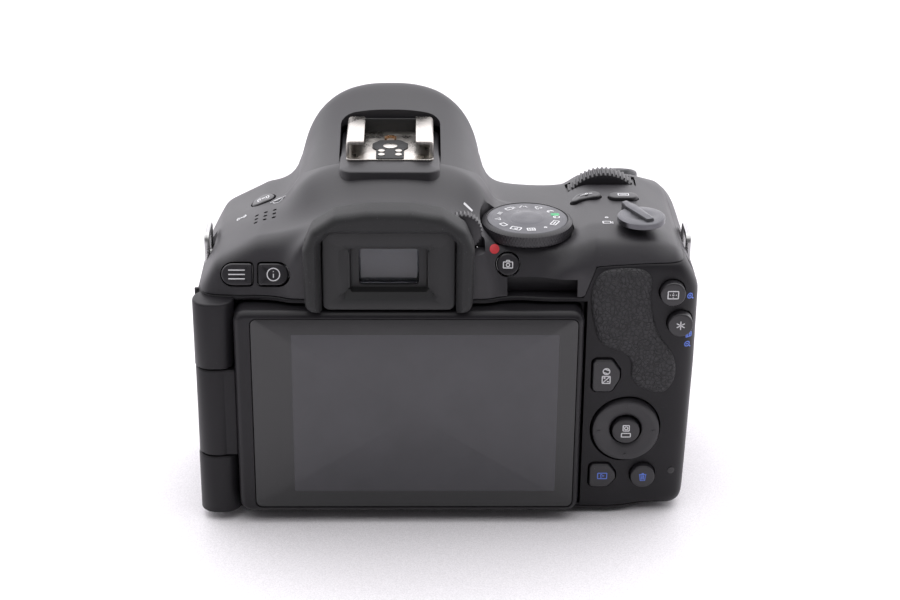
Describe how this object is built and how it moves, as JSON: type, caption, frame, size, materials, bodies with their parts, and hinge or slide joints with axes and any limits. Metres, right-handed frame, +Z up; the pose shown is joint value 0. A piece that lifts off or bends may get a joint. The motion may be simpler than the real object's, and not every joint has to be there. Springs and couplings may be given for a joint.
{
  "type": "single lens reflex camera body",
  "caption": "Compact reflex camera body with a side-hinged display, pop-up flash, hot shoe, dials, buttons and an open lens mount.",
  "frame": {"origin": "mouth of the tripod socket on the base, under the lens axis", "axes": "+X to the right as seen from behind, +Y out of the lens mount, +Z up"},
  "size_m": [0.1224, 0.0698, 0.0926],
  "materials": {
    "body_plastic": "fine satin-textured charcoal polycarbonate",
    "rear_plastic": "fine satin-textured black polycarbonate",
    "grip_skin": "leather-grained elastomer",
    "button_plastic": "smooth satin plastic with printed marks",
    "eyecup_rubber": "soft matt moulded rubber",
    "mount_metal": "turned stainless steel",
    "shoe_metal": "nickel-plated pressed steel",
    "screw_metal": "blackened and bright steel",
    "mirror_silver": "front-silvered glass on a black carrier",
    "black_metal": "flocked and matt black painted metal",
    "optical_glass": "coated optical glass",
    "display_glass": "dark glass with an anti-glare coating",
    "dial_metal": "spun and knurled anodised aluminium",
    "board_green": "solder-masked circuit board",
    "sensor_glass": "infrared-cut filter over silicon",
    "frame_metal": "die-cast and pressed frame",
    "battery_plastic": "moulded battery case",
    "card_plastic": "moulded memory card",
    "contact_gold": "gold-plated contact pads in black resin",
    "flash_lens": "ribbed clear plastic lens"
  },
  "bodies": {
    "body": {"front_cover": "body_plastic", "rear_cover": "rear_plastic", "top_cover": "body_plastic", "bottom_cover": "rear_plastic", "grip_rubber": "grip_skin", "thumb_rest_rubber": "grip_skin", "lens_mount_ring": "mount_metal", "screws": "screw_metal", "mirror_box": "black_metal", "focusing_screen": "optical_glass", "pentamirror": "battery_plastic", "eyepiece_lens": "optical_glass", "viewfinder_frame": "eyecup_rubber", "eyecup": "eyecup_rubber", "shutter_frame": "black_metal", "image_sensor": "sensor_glass", "main_circuit_board": "board_green", "chassis": "frame_metal", "battery": "battery_plastic", "memory_card": "card_plastic", "hot_shoe": "shoe_metal", "hot_shoe_contacts": "contact_gold", "flash_hinge_pins": "screw_metal", "strap_lugs": "screw_metal"},
    "display": {"display_arm": "rear_plastic", "display_housing": "rear_plastic", "display_glass": "display_glass"},
    "flash": {"flash_head": "body_plastic", "flash_window": "flash_lens", "flash_tube": "flash_lens"},
    "mode_dial_body": {"mode_dial": "dial_metal"},
    "main_dial_body": {"main_dial": "button_plastic"},
    "power_switch_body": {"power_switch": "dial_metal"},
    "diopter": {"diopter_dial": "button_plastic"},
    "shutter_release": {"shutter_button": "button_plastic"},
    "iso_key": {"iso_button": "button_plastic"},
    "display_mode_key": {"display_mode_button": "button_plastic"},
    "wireless_key": {"wireless_button": "button_plastic"},
    "menu_key": {"menu_button": "button_plastic"},
    "info_key": {"info_button": "button_plastic"},
    "live_view_key": {"live_view_button": "button_plastic"},
    "focus_point_key": {"focus_point_button": "button_plastic"},
    "exposure_lock_key": {"exposure_lock_button": "button_plastic"},
    "exposure_key": {"exposure_button": "button_plastic"},
    "playback_key": {"playback_button": "button_plastic"},
    "erase_key": {"erase_button": "button_plastic"},
    "set_key": {"set_button": "button_plastic"},
    "cross_gimbal": {"cross_key_gimbal": "frame_metal"},
    "cross_pad": {"cross_keys": "button_plastic"},
    "mirror": {"reflex_mirror": "mirror_silver"},
    "sub": {"sub_mirror": "mirror_silver"},
    "upper_blade": {"shutter_blade_upper": "black_metal"},
    "middle_blade": {"shutter_blade_middle": "black_metal"},
    "lower_blade": {"shutter_blade_lower": "black_metal"},
    "battery_hatch": {"battery_door": "rear_plastic"},
    "hatch_latch": {"battery_door_latch": "button_plastic"},
    "left_terminal_cover": {"terminal_cover_left": "eyecup_rubber"},
    "right_terminal_cover": {"terminal_cover_right": "eyecup_rubber"},
    "release_key": {"lens_release_button": "button_plastic"},
    "lock_pin": {"lens_lock_pin": "mount_metal"}
  },
  "joints": [
    {"name": "display_swing", "type": "hinge", "parent": "body", "child": "display", "pos_m": [-0.042, -0.0225, 0.029], "axis": [0, 0, -1], "range_deg": [0, 175]},
    {"name": "flash_raise", "type": "hinge", "parent": "body", "child": "flash", "pos_m": [0, 0.0025, 0.0818], "axis": [1, 0, 0], "range_deg": [0, 62]},
    {"name": "mode_dial_turn", "type": "hinge", "parent": "body", "child": "mode_dial_body", "pos_m": [0.033, -0.0105, 0.072], "axis": [0, 0, 1], "continuous": true},
    {"name": "main_dial_turn", "type": "hinge", "parent": "body", "child": "main_dial_body", "pos_m": [0.0535, 0.0155, 0.0659], "axis": [0, 1, 0], "continuous": true},
    {"name": "power_switch_turn", "type": "hinge", "parent": "body", "child": "power_switch_body", "pos_m": [0.06, -0.014, 0.075], "axis": [0, 0, 1], "range_deg": [0, 60]},
    {"name": "diopter_turn", "type": "hinge", "parent": "body", "child": "diopter", "pos_m": [0.0173, -0.021, 0.075], "axis": [0, 1, 0], "range_deg": [-135, 135]},
    {"name": "shutter_press", "type": "slide", "parent": "body", "child": "shutter_release", "axis": [0, -0.519, -0.8548], "range_m": [0, 0.0012], "stiffness_N_per_m": 400},
    {"name": "iso_press", "type": "slide", "parent": "body", "child": "iso_key", "axis": [0, 0, -1], "range_m": [0, 0.0006], "stiffness_N_per_m": 400},
    {"name": "display_mode_press", "type": "slide", "parent": "body", "child": "display_mode_key", "axis": [0, 0, -1], "range_m": [0, 0.0006], "stiffness_N_per_m": 400},
    {"name": "wireless_press", "type": "slide", "parent": "body", "child": "wireless_key", "axis": [0, 0, -1], "range_m": [0, 0.0005], "stiffness_N_per_m": 400},
    {"name": "menu_press", "type": "slide", "parent": "body", "child": "menu_key", "axis": [0, 0.9333, -0.359], "range_m": [0, 0.0006], "stiffness_N_per_m": 400},
    {"name": "info_press", "type": "slide", "parent": "body", "child": "info_key", "axis": [0, 0.9333, -0.359], "range_m": [0, 0.0006], "stiffness_N_per_m": 400},
    {"name": "live_view_press", "type": "slide", "parent": "body", "child": "live_view_key", "axis": [0, 0.9333, -0.359], "range_m": [0, 0.0006], "stiffness_N_per_m": 400},
    {"name": "focus_point_press", "type": "slide", "parent": "body", "child": "focus_point_key", "axis": [0, 1, 0], "range_m": [0, 0.0006], "stiffness_N_per_m": 400},
    {"name": "exposure_lock_press", "type": "slide", "parent": "body", "child": "exposure_lock_key", "axis": [0, 1, 0], "range_m": [0, 0.0006], "stiffness_N_per_m": 400},
    {"name": "exposure_press", "type": "slide", "parent": "body", "child": "exposure_key", "axis": [0, 1, 0], "range_m": [0, 0.0006], "stiffness_N_per_m": 400},
    {"name": "playback_press", "type": "slide", "parent": "body", "child": "playback_key", "axis": [0, 1, 0], "range_m": [0, 0.0006], "stiffness_N_per_m": 400},
    {"name": "erase_press", "type": "slide", "parent": "body", "child": "erase_key", "axis": [0, 1, 0], "range_m": [0, 0.0006], "stiffness_N_per_m": 400},
    {"name": "set_press", "type": "slide", "parent": "body", "child": "set_key", "axis": [0, 1, 0], "range_m": [0, 0.0006], "stiffness_N_per_m": 400},
    {"name": "cross_keys_left_right", "type": "hinge", "parent": "body", "child": "cross_gimbal", "pos_m": [0.0576, -0.0206, 0.0238], "axis": [0, 0, 1], "range_deg": [-3, 3], "stiffness_Nm_per_rad": 0.02},
    {"name": "cross_keys_up_down", "type": "hinge", "parent": "cross_gimbal", "child": "cross_pad", "pos_m": [0.0576, -0.0206, 0.0238], "axis": [1, 0, 0], "range_deg": [-3, 3], "stiffness_Nm_per_rad": 0.02},
    {"name": "mirror_lift", "type": "hinge", "parent": "body", "child": "mirror", "pos_m": [0, 0.0011, 0.053], "axis": [1, 0, 0], "range_deg": [0, 45], "stiffness_Nm_per_rad": 0.02},
    {"name": "sub_mirror_fold", "type": "hinge", "parent": "mirror", "child": "sub", "pos_m": [0, 0.01234, 0.03879], "axis": [1, 0, 0], "range_deg": [-90, 0]},
    {"name": "shutter_upper_travel", "type": "slide", "parent": "body", "child": "upper_blade", "axis": [0, 0, -1], "range_m": [0, 0.0174]},
    {"name": "shutter_middle_travel", "type": "slide", "parent": "body", "child": "middle_blade", "axis": [0, 0, -1], "range_m": [0, 0.012]},
    {"name": "shutter_lower_travel", "type": "slide", "parent": "body", "child": "lower_blade", "axis": [0, 0, -1], "range_m": [0, 0.0065]},
    {"name": "battery_door_swing", "type": "hinge", "parent": "body", "child": "battery_hatch", "pos_m": [0.0688, 0, 0.0012], "axis": [0, -1, 0], "range_deg": [0, 90]},
    {"name": "battery_latch_slide", "type": "slide", "parent": "battery_hatch", "child": "hatch_latch", "axis": [1, 0, 0], "range_m": [0, 0.0025], "stiffness_N_per_m": 100},
    {"name": "left_terminal_cover_swing", "type": "hinge", "parent": "body", "child": "left_terminal_cover", "pos_m": [-0.0465, 0.0081, 0.037], "axis": [0, 0, -1], "range_deg": [0, 100]},
    {"name": "right_terminal_cover_swing", "type": "hinge", "parent": "body", "child": "right_terminal_cover", "pos_m": [0.0745, 0.0041, 0.033], "axis": [0, 0, 1], "range_deg": [0, 100]},
    {"name": "lens_release_press", "type": "slide", "parent": "body", "child": "release_key", "axis": [0, -1, 0], "range_m": [0, 0.0015], "stiffness_N_per_m": 400},
    {"name": "lens_lock_pin_travel", "type": "slide", "parent": "body", "child": "lock_pin", "axis": [0, -1, 0], "range_m": [0, 0.0015]}
  ],
  "couplings": [
    {"joint": "sub_mirror_fold", "follows": "mirror_lift", "ratio": -2},
    {"joint": "shutter_middle_travel", "follows": "shutter_upper_travel", "ratio": 0.684},
    {"joint": "shutter_lower_travel", "follows": "shutter_upper_travel", "ratio": 0.368},
    {"joint": "lens_lock_pin_travel", "follows": "lens_release_press", "ratio": 1}
  ]
}
